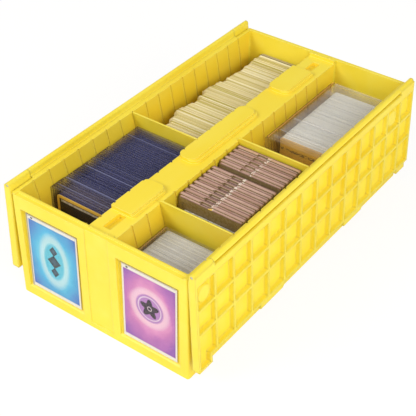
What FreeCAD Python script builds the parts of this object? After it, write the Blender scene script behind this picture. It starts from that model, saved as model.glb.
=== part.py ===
import FreeCAD, Part
import math
import os
import Sketcher

# Trading card storage bin: a two-row plastic tub with a centre beam, two lid flaps that hang open
# beside it on steel rods, slanted partitions, and the cards that it holds.
# X runs across, Y runs from the window end to the back, Z is up. All sizes are in millimetres.

SIZES = {
    # tub
    "tub_length": 394,
    "tub_width": 207,
    "tub_height": 123.4,
    "side_wall": 4,
    "front_wall": 7,
    "rear_wall": 4,
    "floor_thickness": 5,
    "corner_radius": 2.5,
    "row_corner_radius": 1.5,
    "ledge_width": 4.6,
    "ledge_drop": 1.4,
    # centre beam
    "beam_width": 32.4,
    "beam_skin": 2.6,
    "beam_cells": 6,
    "cell_web": 3,
    "deck_drop": 4,
    "step_drop": 1.5,
    "pad_start": 103,
    "pad_end": 156,
    "pad_right": 8.5,
    "pad_step": 2,
    "pad_radius": 8,
    "pad_heel": 12,
    "bar_half": 56,
    "bar_right": 3.5,
    "bar_step": 3.7,
    "slot_length": 23,
    "slot_gap": 1.5,
    "slot_width": 9,
    "slot_depth": 5,
    "slot_shift": 0.5,
    "stud_radius": 1.4,
    "stud_height": 0.9,
    "stud_from_end": 5.5,
    "stud_side": 9,
    # display windows in the front wall
    "window_width": 71.5,
    "window_height": 98,
    "window_sill": 9.5,
    "window_centre": 58.5,
    "window_sill_depth": 2,
    "window_sill_rise": 2.6,
    "window_top_depth": 4.2,
    "panel_depth": 0.8,
    "panel_half": 14,
    "panel_foot": 6,
    # slanted grooves in the row walls
    "left_groove_count": 17,
    "right_groove_count": 16,
    "groove_pitch": 21.2,
    "groove_width": 2.4,
    "groove_depth": 1.2,
    "groove_slant": 11,
    "left_groove_first": 25.5,
    "right_groove_first": 31.2,
    # hinge
    "hinge_out": 4.6,
    "hinge_rise": 5.2,
    "rail_radius": 2.8,
    "web_thickness": 2.6,
    "web_neck": 1,
    "web_gap": 0.2,
    "rod_diameter": 3,
    "rod_clearance": 0.05,
    "ear_gap": 0.4,
    "ear_crown": 37,
    # lid flaps
    "flap_columns": 14,
    "flap_thickness": 8,
    "flap_inset": 4,
    "flap_skin": 2.8,
    "flap_rim": 2.6,
    "flap_rib": 2.6,
    "flap_top_drop": 8.6,
    "lip_thickness": 3.2,
    "lip_gap": 0.6,
    "flap_lean": 2.3,
    "tooth_pass": 4.8,
    "half_gap": 0.4,
    "mesh_gap": 0.8,
    "tongue_step": 3,
    "rib_drop_upper": 39.6,
    "rib_drop_lower": 68,
    "end_tooth": 20,
    "end_step": 42.5,
    "tooth_start": 103,
    "tooth_end": 141.8,
    "tooth_slope": 11.5,
    "middle_tooth": 260.5,
    "middle_tooth_end": 295.5,
    "rear_step": 353.5,
    "rear_tooth": 376,
    "boss_radius": 9.5,
    "boss_height": 3.2,
    "boss_taper": 20,
    "boss_drop": 25.9,
    # partitions
    "partition_thickness": 1.8,
    "partition_drop": 0.3,
    "partition_play": 0.4,
    "partition_radius": 2.5,
    "left_partition_groove": 7,
    "front_partition_groove": 2,
    "rear_partition_groove": 8,
    # clearances of what stands in the rows
    "seat_gap": 0.2,
    "side_gap": 0.4,
    # cards, sleeves and holders
    "card_width": 63,
    "card_height": 88,
    "card_thickness": 0.32,
    "sleeve_width": 66,
    "sleeve_height": 91,
    "sleeve_wall": 0.15,
    "display_thickness": 0.5,
    "display_seam": 1.6,
    "loader_width": 76,
    "loader_height": 101.6,
    "loader_thickness": 2.8,
    "loader_pitch": 3.02,
    "loader_slot": 0.9,
    "loader_slot_width": 64.5,
    "loader_slot_floor": 4,
    "left_loader_count": 43,
    "left_loader_front": 46.1,
    "rear_loader_count": 44,
    "rear_loader_front": 240,
    "rear_empty_loaders": 6,
    "raw_front": 200.2,
    "raw_bundle": 13.45,
    "raw_bundle_gap": 0.25,
    "raw_height": 95,
    "raw_bundle_count": 14,
    "raw_unevenness": 1,
    "sleeved_front": 8.4,
    "sleeved_pitch": 3.2,
    "sleeved_thickness": 3.0,
    "sleeved_count": 20,
    "sleeved_from_beam": 4.7,
    "sleeved_width": 70,
    # rigid card cases
    "case_width": 75,
    "case_from_beam": 1.2,
    "case_height": 110.6,
    "case_thickness": 7.1,
    "case_pitch": 7.28,
    "case_front": 97.9,
    "case_lip": 2.8,
    "case_lip_inset": 1.4,
    "case_recess": 0.6,
    "case_recess_border": 6,
    "case_notch_width": 12,
    "case_notch_depth": 2.4,
    "case_corner": 2,
    "case_count": 14,
    "low_case": 9,
    "low_case_drop": 8,
    "loose_card_gap": 0.3,
    "loose_card_thickness": 1,
    "loose_card_side": 10.5,
}

os.makedirs("parts", exist_ok=True)
doc = FreeCAD.newDocument("card_bin")
sheet = doc.addObject("Spreadsheet::Sheet", "Sizes")
for row, (name, number) in enumerate(SIZES.items(), start=1):
    sheet.set(f"A{row}", name)
    sheet.set(f"B{row}", str(number))
    sheet.setAlias(f"B{row}", name)
doc.recompute()

# Derived sizes that several pieces share, written once as expressions on the sheet.
HALF_LENGTH = "(Sizes.tub_length / 2)"
HALF_WIDTH = "(Sizes.tub_width / 2)"
FRONT = f"(0 - {HALF_LENGTH})"
ROW_OUTER = f"({HALF_WIDTH} - Sizes.side_wall)"
ROW_INNER = "(Sizes.beam_width / 2)"
ROW_WIDTH = f"({ROW_OUTER} - {ROW_INNER})"
ROW_CENTRE = f"(({ROW_OUTER} + {ROW_INNER}) / 2)"
ROW_FRONT = f"({FRONT} + Sizes.front_wall)"
ROW_BACK = f"({HALF_LENGTH} - Sizes.rear_wall)"
SLANT = "tan(Sizes.groove_slant * 1 deg)"
DECK = "(Sizes.tub_height - Sizes.deck_drop)"
AXIS_X = f"({HALF_WIDTH} + Sizes.hinge_out)"
AXIS_Z = "(Sizes.tub_height + Sizes.hinge_rise)"
FLAP_OUTER = "(Sizes.flap_thickness - Sizes.flap_inset)"
COLUMN = "(Sizes.tub_length / Sizes.flap_columns)"
TOOTH_REACH = f"({AXIS_X} + Sizes.tooth_pass)"
BASE_REACH = f"({AXIS_X} - Sizes.tooth_pass - Sizes.mesh_gap)"
RAIL_HALF = f"({HALF_LENGTH} - {COLUMN} - Sizes.ear_gap)"
BORE = "(Sizes.rod_diameter / 2 + Sizes.rod_clearance)"
FLOOR = "Sizes.floor_thickness"
SEAT = "(Sizes.floor_thickness + Sizes.seat_gap)"


def size(expression):
    """The number that an expression on the sheet gives now."""
    return float(sheet.evalExpression(str(expression)))


def origin_plane(body, role):
    """One of the three origin planes of a body."""
    return next(item for item in body.Origin.OriginFeatures if item.Role == role)


def new_body(label, compound=False):
    body = doc.addObject("PartDesign::Body", label)
    body.Label = label
    body.AllowCompound = compound
    return body


def plane_sketch(body, name, role, offset):
    """An empty sketch on an origin plane of its own body, moved along that plane's normal."""
    sketch = body.newObject("Sketcher::SketchObject", name)
    sketch.AttachmentSupport = (origin_plane(body, role), [""])
    sketch.MapMode = "FlatFace"
    sketch.setExpression("AttachmentOffset.Base.z", offset)
    return sketch


def pin_point(sketch, geometry, point, across, up):
    """Fixes a point of the sketch at two sheet expressions from the sketch origin."""
    for kind, expression in (("DistanceX", across), ("DistanceY", up)):
        index = sketch.addConstraint(
            Sketcher.Constraint(kind, -1, 1, geometry, point, size(expression)))
        sketch.setExpression(f"Constraints[{index}]", expression)


def draw_outline(sketch, points):
    """A closed outline of straight lines through points given as pairs of expressions."""
    corners = [FreeCAD.Vector(size(across), size(up), 0) for across, up in points]
    first = sketch.GeometryCount
    count = len(corners)
    for step, corner in enumerate(corners):
        sketch.addGeometry(Part.LineSegment(corner, corners[(step + 1) % count]), False)
    for step, (across, up) in enumerate(points):
        line = first + step
        following = first + (step + 1) % count
        sketch.addConstraint(Sketcher.Constraint("Coincident", line, 2, following, 1))
        pin_point(sketch, line, 1, across, up)


def draw_circle(sketch, across, up, radius):
    centre = FreeCAD.Vector(size(across), size(up), 0)
    circle = sketch.addGeometry(
        Part.Circle(centre, FreeCAD.Vector(0, 0, 1), size(radius)), False)
    pin_point(sketch, circle, 3, across, up)
    index = sketch.addConstraint(Sketcher.Constraint("Radius", circle, size(radius)))
    sketch.setExpression(f"Constraints[{index}]", radius)


def draw_rounded(sketch, low_x, high_x, low_y, high_y, radius):
    """A rectangle with four tangent corner arcs of one radius."""
    west, east, south, north = (size(edge) for edge in (low_x, high_x, low_y, high_y))
    bend = size(radius)
    vector = FreeCAD.Vector
    up = vector(0, 0, 1)
    lines = [
        Part.LineSegment(vector(west + bend, south, 0), vector(east - bend, south, 0)),
        Part.LineSegment(vector(east, south + bend, 0), vector(east, north - bend, 0)),
        Part.LineSegment(vector(east - bend, north, 0), vector(west + bend, north, 0)),
        Part.LineSegment(vector(west, north - bend, 0), vector(west, south + bend, 0)),
    ]
    quarter = math.pi / 2
    centres = [
        (vector(east - bend, south + bend, 0), 3 * quarter, 4 * quarter),
        (vector(east - bend, north - bend, 0), 0, quarter),
        (vector(west + bend, north - bend, 0), quarter, 2 * quarter),
        (vector(west + bend, south + bend, 0), 2 * quarter, 3 * quarter),
    ]
    first = sketch.GeometryCount
    for line in lines:
        sketch.addGeometry(line, False)
    for centre, start, end in centres:
        sketch.addGeometry(Part.ArcOfCircle(Part.Circle(centre, up, bend), start, end), False)
    for step in range(4):
        line = first + step
        arc = first + 4 + step
        following = first + (step + 1) % 4
        sketch.addConstraint(Sketcher.Constraint("Tangent", line, 2, arc, 1))
        sketch.addConstraint(Sketcher.Constraint("Tangent", arc, 2, following, 1))
    for line, kind in ((0, "Horizontal"), (1, "Vertical"), (2, "Horizontal"), (3, "Vertical")):
        sketch.addConstraint(Sketcher.Constraint(kind, first + line))
    for arc in range(1, 4):
        sketch.addConstraint(Sketcher.Constraint("Equal", first + 4, first + 4 + arc))
    held = [(0, "DistanceY", low_y), (1, "DistanceX", high_x),
            (2, "DistanceY", high_y), (3, "DistanceX", low_x)]
    for line, kind, edge in held:
        index = sketch.addConstraint(
            Sketcher.Constraint(kind, -1, 1, first + line, 1, size(edge)))
        sketch.setExpression(f"Constraints[{index}]", edge)
    index = sketch.addConstraint(Sketcher.Constraint("Radius", first + 4, bend))
    sketch.setExpression(f"Constraints[{index}]", radius)


def pad(body, sketch, length, reverse=False, name="Pad"):
    feature = body.newObject("PartDesign::Pad", name)
    feature.Profile = sketch
    feature.Reversed = reverse
    feature.setExpression("Length", length)
    body.Tip = feature
    return feature


def pocket(body, sketch, length, reverse=False, name="Pocket"):
    feature = body.newObject("PartDesign::Pocket", name)
    feature.Profile = sketch
    feature.Reversed = reverse
    feature.setExpression("Length", length)
    body.Tip = feature
    return feature


def row_of(body, features, role_sketch, axis, length, count, name="Row"):
    """Repeats features along an axis of one of their sketches."""
    pattern = body.newObject("PartDesign::LinearPattern", name)
    pattern.Originals = features
    pattern.Direction = (role_sketch, [axis])
    pattern.Mode = "Extent"
    pattern.setExpression("Length", length)
    pattern.setExpression("Occurrences", count)
    body.Tip = pattern
    return pattern


def mirror_across(body, features, role, name="Mirror"):
    """Repeats features on the other side of an origin plane of the body."""
    mirror = body.newObject("PartDesign::Mirrored", name)
    mirror.Originals = features
    mirror.MirrorPlane = (origin_plane(body, role), [""])
    body.Tip = mirror
    return mirror


def round_edges(body, radius, chosen, name="Round"):
    """Fillets the edges of the body that a test on their ends picks."""
    doc.recompute()
    base = body.Tip
    names = []
    for number, edge in enumerate(base.Shape.Edges, start=1):
        ends = [vertex.Point for vertex in edge.Vertexes]
        if len(ends) == 2 and chosen(ends[0], ends[1]):
            names.append(f"Edge{number}")
    fillet = body.newObject("PartDesign::Fillet", name)
    fillet.Base = (base, names)
    fillet.setExpression("Radius", radius)
    body.Tip = fillet
    return fillet


def near(first, second, slack=0.01):
    return abs(first - second) < slack


def tub_shell(tub):
    """The outer block, the two card rows and the hollow cells under the beam."""
    outer = plane_sketch(tub, "tub_outline", "XY_Plane", "0")
    draw_rounded(outer, f"0 - {HALF_WIDTH}", HALF_WIDTH, FRONT, HALF_LENGTH, "Sizes.corner_radius")
    pad(tub, outer, "Sizes.tub_height", name="tub_block")
    rows = plane_sketch(tub, "row_outline", "XY_Plane", "Sizes.tub_height")
    draw_rounded(rows, ROW_INNER, ROW_OUTER, ROW_FRONT, ROW_BACK, "Sizes.row_corner_radius")
    right_row = pocket(tub, rows, f"Sizes.tub_height - {FLOOR}", name="right_row")
    mirror_across(tub, [right_row], "YZ_Plane", name="left_row")
    row_length = f"({ROW_BACK} - {ROW_FRONT})"
    cell_length = f"(({row_length} + Sizes.cell_web) / Sizes.beam_cells - Sizes.cell_web)"
    cell = plane_sketch(tub, "beam_cell_outline", "XY_Plane", "0")
    draw_rounded(cell, f"0 - {ROW_INNER} + Sizes.beam_skin", f"{ROW_INNER} - Sizes.beam_skin",
                 ROW_FRONT, f"{ROW_FRONT} + {cell_length}", "Sizes.row_corner_radius")
    hollow = pocket(tub, cell, f"{DECK} - Sizes.slot_depth - Sizes.beam_skin", reverse=True,
                    name="beam_cell")
    row_of(tub, [hollow], cell, "V_Axis", f"{row_length} - {cell_length}", "Sizes.beam_cells",
           name="beam_cells")


def beam_deck(tub):
    """The lowered deck of the beam, its raised bar and pads, slots and locating studs."""
    deck = plane_sketch(tub, "deck_outline", "XY_Plane", "Sizes.tub_height")
    end = f"({HALF_LENGTH} - Sizes.front_wall)"
    draw_outline(deck, [(f"0 - {ROW_INNER}", f"0 - {end}"), (ROW_INNER, f"0 - {end}"),
                        (ROW_INNER, end), (f"0 - {ROW_INNER}", end)])
    pocket(tub, deck, "Sizes.deck_drop", name="deck")
    pads = []
    foot_right = "(Sizes.pad_right + Sizes.pad_step)"
    foot_height = "(Sizes.deck_drop - Sizes.step_drop)"
    heel = "(Sizes.pad_heel - Sizes.pad_end)"
    raised = [
        ("pad_foot", foot_right, "0 - Sizes.pad_end", "0 - Sizes.pad_start", foot_height,
         "Sizes.pad_radius"),
        ("foot_heel", foot_right, "0 - Sizes.pad_end", heel, foot_height,
         "Sizes.row_corner_radius"),
        ("pad_top", "Sizes.pad_right", "0 - Sizes.pad_end", "0 - Sizes.pad_start",
         "Sizes.deck_drop", "Sizes.pad_radius"),
        ("top_heel", "Sizes.pad_right", "0 - Sizes.pad_end", heel, "Sizes.deck_drop",
         "Sizes.row_corner_radius"),
    ]
    for name, right, start, finish, height, radius in raised:
        outline = plane_sketch(tub, f"{name}_outline", "XY_Plane", DECK)
        draw_rounded(outline, f"0 - {ROW_INNER}", right, start, finish, radius)
        pads.append(pad(tub, outline, height, name=name))
    for name, right, height in (("bar_foot", "Sizes.bar_right + Sizes.bar_step", foot_height),
                                ("bar_top", "Sizes.bar_right", "Sizes.deck_drop")):
        outline = plane_sketch(tub, f"{name}_outline", "XY_Plane", DECK)
        draw_rounded(outline, f"0 - {ROW_INNER}", right, "0 - Sizes.bar_half", "Sizes.bar_half",
                     "Sizes.pad_radius")
        pad(tub, outline, height, name=name)
    slot = plane_sketch(tub, "slot_outline", "XY_Plane", DECK)
    slot_side = "Sizes.slot_width / 2"
    draw_rounded(slot, f"0 - Sizes.slot_shift - {slot_side}", f"{slot_side} - Sizes.slot_shift",
                 "0 - Sizes.pad_end - Sizes.slot_gap - Sizes.slot_length",
                 "0 - Sizes.pad_end - Sizes.slot_gap",
                 "Sizes.row_corner_radius")
    front_slot = pocket(tub, slot, "Sizes.slot_depth", name="front_slot")
    stud = plane_sketch(tub, "stud_outline", "XY_Plane", "Sizes.tub_height")
    for side in ("-1", "1"):
        draw_circle(stud, f"{side} * Sizes.stud_side", f"{FRONT} + Sizes.stud_from_end",
                    "Sizes.stud_radius")
    studs = pad(tub, stud, "Sizes.stud_height", name="front_studs")
    mirror_across(tub, pads + [front_slot, studs], "XZ_Plane", name="rear_deck")


def front_face(tub):
    """The step along the front rim, the plain middle panel and the two display windows."""
    ledge = plane_sketch(tub, "ledge_outline", "YZ_Plane", f"0 - {ROW_OUTER}")
    edge = f"{FRONT} + Sizes.ledge_width"
    low = "Sizes.tub_height - Sizes.ledge_drop"
    over = "Sizes.tub_height + Sizes.stud_height"
    out = f"{FRONT} - Sizes.panel_depth"
    draw_outline(ledge, [(out, low), (edge, low), (edge, over), (out, over)])
    pocket(tub, ledge, f"2 * {ROW_OUTER}", reverse=True, name="front_ledge")
    panel = plane_sketch(tub, "panel_outline", "XZ_Plane", HALF_LENGTH)
    draw_outline(panel, [("0 - Sizes.panel_half", "Sizes.panel_foot"),
                         ("Sizes.panel_half", "Sizes.panel_foot"),
                         ("Sizes.panel_half", "Sizes.tub_height"),
                         ("0 - Sizes.panel_half", "Sizes.tub_height")])
    pocket(tub, panel, "Sizes.panel_depth", name="front_panel")
    window = plane_sketch(tub, "window_section", "YZ_Plane",
                          "Sizes.window_centre - Sizes.window_width / 2")
    top = "Sizes.window_sill + Sizes.window_height"
    draw_outline(window, [(out, "Sizes.window_sill"),
                          (f"{FRONT} + Sizes.window_sill_depth",
                           "Sizes.window_sill + Sizes.window_sill_rise"),
                          (f"{FRONT} + Sizes.window_top_depth", top),
                          (out, top)])
    right = pocket(tub, window, "Sizes.window_width", reverse=True, name="right_window")
    mirror_across(tub, [right], "YZ_Plane", name="left_window")


def row_grooves(tub):
    """Slanted grooves in both walls of each row, cut as slabs a little wider than the row."""
    for side, first in (("left", "Sizes.left_groove_first"), ("right", "Sizes.right_groove_first")):
        near_edge = ROW_INNER if side == "right" else f"(0 - {ROW_OUTER})"
        section = plane_sketch(tub, f"{side}_groove_section", "YZ_Plane",
                               f"{near_edge} - Sizes.groove_depth")
        at_rim = f"{FRONT} + {first}"
        drop = f"(Sizes.tub_height - {FLOOR}) * {SLANT}"
        half = "Sizes.groove_width / 2"
        draw_outline(section, [(f"{at_rim} - {half} + {drop}", FLOOR),
                               (f"{at_rim} + {half} + {drop}", FLOOR),
                               (f"{at_rim} + {half}", "Sizes.tub_height"),
                               (f"{at_rim} - {half}", "Sizes.tub_height")])
        slab = pocket(tub, section, f"{ROW_WIDTH} + 2 * Sizes.groove_depth", reverse=True,
                      name=f"{side}_groove")
        count = f"Sizes.{side}_groove_count"
        row_of(tub, [slab], section, "H_Axis", f"Sizes.groove_pitch * ({count} - 1)", count,
               name=f"{side}_grooves")


def hinge_rails(tub):
    """A bored hinge rail on a web along the top of each side wall, between the flap's ears."""
    section = plane_sketch(tub, "web_section", "XZ_Plane", RAIL_HALF)
    wall_middle = f"({HALF_WIDTH} - Sizes.side_wall / 2)"
    under = "Sizes.tub_height - Sizes.web_thickness"
    level = f"({AXIS_Z} - {FLAP_OUTER} - Sizes.web_gap)"
    passed = f"({AXIS_X} + Sizes.web_gap)"
    draw_outline(section, [(wall_middle, under),
                           (HALF_WIDTH, under),
                           (passed, f"{level} - 2 * Sizes.web_gap"),
                           (passed, f"{AXIS_Z} - Sizes.rail_radius / 2"),
                           (f"{AXIS_X} - Sizes.rail_radius", f"{AXIS_Z} - Sizes.web_neck"),
                           (f"{AXIS_X} - Sizes.rail_radius - Sizes.web_gap", level),
                           (HALF_WIDTH, level),
                           (wall_middle, "Sizes.tub_height")])
    web = pad(tub, section, f"2 * {RAIL_HALF}", reverse=True, name="hinge_web")
    barrel = plane_sketch(tub, "rail_section", "XZ_Plane", RAIL_HALF)
    draw_circle(barrel, AXIS_X, AXIS_Z, "Sizes.rail_radius")
    tube = pad(tub, barrel, f"2 * {RAIL_HALF}", reverse=True, name="hinge_rail")
    mirror_across(tub, [web, tube], "YZ_Plane", name="left_hinge_rail")
    hole = plane_sketch(tub, "bore_section", "XZ_Plane", RAIL_HALF)
    draw_circle(hole, AXIS_X, AXIS_Z, BORE)
    bore = pocket(tub, hole, f"2 * {RAIL_HALF}", reverse=False, name="rail_bore")
    mirror_across(tub, [bore], "YZ_Plane", name="left_rail_bore")


def make_tub():
    tub = new_body("tub")
    tub_shell(tub)
    hinge_rails(tub)
    front_face(tub)
    beam_deck(tub)
    row_grooves(tub)
    return tub


def edge_events(side):
    """The first reach of a flap's free edge, then where each step starts and ends and its reach."""
    tooth = TOOTH_REACH
    half = f"({AXIS_X} - Sizes.half_gap)"
    base = BASE_REACH
    gap = "Sizes.mesh_gap"
    slope = "Sizes.tooth_slope"
    if side > 0:
        return tooth, [
            ("Sizes.end_tooth", "Sizes.end_tooth", half),
            ("Sizes.end_step", "Sizes.end_step", base),
            ("Sizes.tooth_start", "Sizes.tooth_start", tooth),
            ("Sizes.tooth_end", f"Sizes.tooth_end + {slope}", base),
            ("Sizes.middle_tooth", "Sizes.middle_tooth", tooth),
            ("Sizes.middle_tooth_end", f"Sizes.middle_tooth_end + {slope}", base),
            ("Sizes.rear_step", "Sizes.rear_step", half),
            ("Sizes.rear_tooth", "Sizes.rear_tooth", tooth),
        ]
    return base, [
        (f"Sizes.end_tooth + {gap}", f"Sizes.end_tooth + {gap}", half),
        (f"Sizes.end_step + {gap}", f"Sizes.end_step + {gap}", tooth),
        (f"Sizes.tooth_start - {gap}", f"Sizes.tooth_start - {gap}", base),
        (f"Sizes.tooth_end + {gap}", f"Sizes.tooth_end + {slope} + {gap}", tooth),
        (f"Sizes.middle_tooth - {gap}", f"Sizes.middle_tooth - {gap}", base),
        (f"Sizes.middle_tooth_end + {gap}", f"Sizes.middle_tooth_end + {slope} + {gap}", tooth),
        (f"Sizes.rear_step - {gap}", f"Sizes.rear_step - {gap}", half),
        (f"Sizes.rear_tooth - {gap}", f"Sizes.rear_tooth - {gap}", base),
    ]


def flap_outline(side):
    """The flap's outline from the front top corner down and along its stepped free edge."""
    reach, events = edge_events(side)
    top = "0 - Sizes.flap_top_drop"
    points = [(FRONT, top), (FRONT, f"0 - {reach}")]
    for begin, finish, following in events:
        points.append((f"{FRONT} + {begin}", f"0 - {reach}"))
        points.append((f"{FRONT} + {finish}", f"0 - {following}"))
        reach = following
    points.append((HALF_LENGTH, f"0 - {reach}"))
    points.append((HALF_LENGTH, top))
    return points


def hollow_outline(side):
    """The hollow of a flap, a rim width inside its edge. Most tongues stay outside it."""
    rim = "Sizes.flap_rim"
    start = f"{FRONT} + {rim}"
    end = f"{HALF_LENGTH} - {rim}"
    top = f"0 - Sizes.flap_top_drop - {rim}"
    base = f"{rim} - {BASE_REACH}"
    if side < 0:
        return [(start, top), (start, base), (end, base), (end, top)]
    tooth = f"{rim} - {TOOTH_REACH}"
    inside = f"{FRONT} + Sizes.end_tooth - {rim}"
    return [(start, top), (start, tooth), (inside, tooth), (inside, base), (end, base), (end, top)]


def flap_ribs(flap, inner_plane, depth):
    """The ribs between the cells: one across each column line and two along."""
    half_rib = "Sizes.flap_rib / 2"
    line = plane_sketch(flap, "column_rib_outline", "YZ_Plane", inner_plane)
    top = "0 - Sizes.flap_top_drop"
    draw_outline(line, [(f"{FRONT} + {COLUMN} - {half_rib}", top),
                        (f"{FRONT} + {COLUMN} - {half_rib}", f"0 - {BASE_REACH}"),
                        (f"{FRONT} + {COLUMN} + {half_rib}", f"0 - {BASE_REACH}"),
                        (f"{FRONT} + {COLUMN} + {half_rib}", top)])
    rib = pad(flap, line, depth, name="column_rib")
    row_of(flap, [rib], line, "H_Axis", f"{COLUMN} * (Sizes.flap_columns - 2)",
           "Sizes.flap_columns - 1", name="column_ribs")
    along = plane_sketch(flap, "long_rib_outline", "YZ_Plane", inner_plane)
    for drop in ("Sizes.rib_drop_upper", "Sizes.rib_drop_lower"):
        draw_outline(along, [(FRONT, f"{half_rib} - {drop}"), (FRONT, f"0 - {half_rib} - {drop}"),
                             (HALF_LENGTH, f"0 - {half_rib} - {drop}"),
                             (HALF_LENGTH, f"{half_rib} - {drop}")])
    pad(flap, along, depth, name="long_ribs")


def flap_bosses(flap, plane):
    """A low tapered boss in the upper cell of each end column."""
    boss = plane_sketch(flap, "boss_outline", "YZ_Plane", plane)
    for centre in (f"{FRONT} + {COLUMN} / 2", f"{HALF_LENGTH} - {COLUMN} * 3 / 2"):
        draw_circle(boss, centre, "0 - Sizes.boss_drop", "Sizes.boss_radius")
    return boss


def make_flap(label, side):
    """A lid flap in its hinge frame: X across from the rod, Z up, hanging, then leant outward."""
    flap = new_body(label)
    depth = "(Sizes.flap_thickness - Sizes.flap_skin)"
    if side > 0:
        low = "(0 - Sizes.flap_inset)"
        skin_face = "(Sizes.flap_skin - Sizes.flap_inset)"
        open_face = FLAP_OUTER
        lip_plane = f"({FLAP_OUTER} - Sizes.lip_thickness)"
    else:
        low = f"(0 - {FLAP_OUTER})"
        skin_face = f"({low} + {depth})"
        open_face = low
        lip_plane = low
    plate = plane_sketch(flap, "plate_outline", "YZ_Plane", low)
    draw_outline(plate, flap_outline(side))
    pad(flap, plate, "Sizes.flap_thickness", name="plate")
    hollow = plane_sketch(flap, "hollow_outline", "YZ_Plane", open_face)
    draw_outline(hollow, hollow_outline(side))
    pocket(flap, hollow, depth, reverse=side < 0, name="hollow")
    flap_ribs(flap, skin_face if side > 0 else low, depth)
    tongues = plane_sketch(flap, "tongue_outline", "YZ_Plane", open_face)
    first = f"{FRONT} + Sizes.end_tooth" if side > 0 else f"{FRONT} - Sizes.flap_rim"
    draw_outline(tongues, [(first, f"0 - {BASE_REACH}"),
                           (first, f"0 - {TOOTH_REACH} - Sizes.flap_rim"),
                           (f"{HALF_LENGTH} + Sizes.flap_rim",
                            f"0 - {TOOTH_REACH} - Sizes.flap_rim"),
                           (f"{HALF_LENGTH} + Sizes.flap_rim", f"0 - {BASE_REACH}")])
    pocket(flap, tongues, "Sizes.tongue_step", reverse=side < 0, name="tongue_step")
    lip = plane_sketch(flap, "lip_outline", "YZ_Plane", lip_plane)
    lip_top = "0 - Sizes.rail_radius - Sizes.lip_gap"
    lip_foot = "0 - Sizes.flap_top_drop - Sizes.flap_rim / 2"
    draw_outline(lip, [(f"{FRONT} + {COLUMN}", lip_foot), (f"{HALF_LENGTH} - {COLUMN}", lip_foot),
                       (f"{HALF_LENGTH} - {COLUMN}", lip_top), (f"{FRONT} + {COLUMN}", lip_top)])
    pad(flap, lip, "Sizes.lip_thickness", name="lip")
    ear_section(flap, side)
    boss = pad(flap, flap_bosses(flap, skin_face), "Sizes.boss_height", reverse=side < 0,
               name="bosses")
    boss.setExpression("TaperAngle", "0 - Sizes.boss_taper")
    flap.Placement = FreeCAD.Placement(
        FreeCAD.Vector(0, 0, 0), FreeCAD.Rotation(FreeCAD.Vector(0, -side, 0), 1))
    flap.setExpression("Placement.Base.x", f"{side} * {AXIS_X}")
    flap.setExpression("Placement.Base.z", AXIS_Z)
    flap.setExpression("Placement.Rotation.Angle", "Sizes.flap_lean")
    return flap


def ear_section(flap, side):
    """The two bored ears that carry the flap on its rod, one over each end column."""
    inner = f"{-side} * Sizes.flap_inset"
    outer = f"{side} * {FLAP_OUTER}"
    ears = []
    for name, offset, reverse in (("front", HALF_LENGTH, True), ("rear", FRONT, False)):
        section = plane_sketch(flap, f"{name}_ear_section", "XZ_Plane", offset)
        draw_outline(section, [(inner, "0 - Sizes.flap_top_drop - Sizes.flap_rim / 2"),
                               (outer, "0 - Sizes.flap_top_drop - Sizes.flap_rim / 2"),
                               (outer, "0"),
                               (f"{-side} * Sizes.rail_radius * cos(Sizes.ear_crown * 1 deg)",
                                "Sizes.rail_radius * sin(Sizes.ear_crown * 1 deg)"),
                               (inner, "0 - Sizes.flap_top_drop + Sizes.flap_rim / 2")])
        ears.append(pad(flap, section, COLUMN, reverse=reverse, name=f"{name}_ear"))
        barrel = plane_sketch(flap, f"{name}_barrel_section", "XZ_Plane", offset)
        draw_circle(barrel, "0", "0", "Sizes.rail_radius")
        ears.append(pad(flap, barrel, COLUMN, reverse=reverse, name=f"{name}_barrel"))
    hole = plane_sketch(flap, "ear_bore_section", "XZ_Plane", FRONT)
    draw_circle(hole, "0", "0", BORE)
    pocket(flap, hole, "Sizes.tub_length", reverse=True, name="ear_bore")


def make_rod(label, side):
    rod = doc.addObject("Part::Cylinder", label)
    rod.Label = label
    rod.setExpression("Radius", "Sizes.rod_diameter / 2")
    rod.setExpression("Height", "Sizes.tub_length - 2 * Sizes.ear_gap")
    rod.Placement = FreeCAD.Placement(
        FreeCAD.Vector(0, 0, 0), FreeCAD.Rotation(FreeCAD.Vector(-1, 0, 0), 90))
    rod.setExpression("Placement.Base.x", f"{side} * {AXIS_X}")
    rod.setExpression("Placement.Base.y", f"{FRONT} + Sizes.ear_gap")
    rod.setExpression("Placement.Base.z", AXIS_Z)
    return rod


def make_partition(label, first, groove, side):
    """A slanted panel in one pair of grooves, level along its top and bottom."""
    partition = new_body(label)
    row_middle = ROW_CENTRE if side > 0 else f"(0 - {ROW_CENTRE})"
    reach = f"({ROW_WIDTH} / 2 + Sizes.groove_depth - Sizes.partition_play)"
    section = plane_sketch(partition, "panel_section", "YZ_Plane", f"{row_middle} - {reach}")
    at_rim = f"({FRONT} + {first} + Sizes.groove_pitch * {groove})"
    low = f"({at_rim} + (Sizes.tub_height - {SEAT}) * {SLANT})"
    high = f"({at_rim} + Sizes.partition_drop * {SLANT})"
    half = "Sizes.partition_thickness / 2"
    top = "Sizes.tub_height - Sizes.partition_drop"
    draw_outline(section, [(f"{low} - {half}", SEAT), (f"{low} + {half}", SEAT),
                           (f"{high} + {half}", top), (f"{high} - {half}", top)])
    pad(partition, section, f"2 * {reach}", name="panel")
    level = size(top)
    round_edges(partition, "Sizes.partition_radius",
                lambda one, two: near(one.z, level) and near(two.z, level) and near(one.x, two.x),
                name="rounded_corners")
    return partition


def y_axis(body):
    return next(item for item in body.Origin.OriginFeatures if item.Role == "Y_Axis")


def repeat_back(body, features, pitch, count, name):
    """Repeats features along the row, one behind the other."""
    pattern = body.newObject("PartDesign::LinearPattern", name)
    pattern.Originals = features
    pattern.Direction = (y_axis(body), [""])
    pattern.Mode = "Spacing"
    pattern.setExpression("Offset", pitch)
    pattern.setExpression("Occurrences", count)
    body.Tip = pattern
    return pattern


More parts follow.
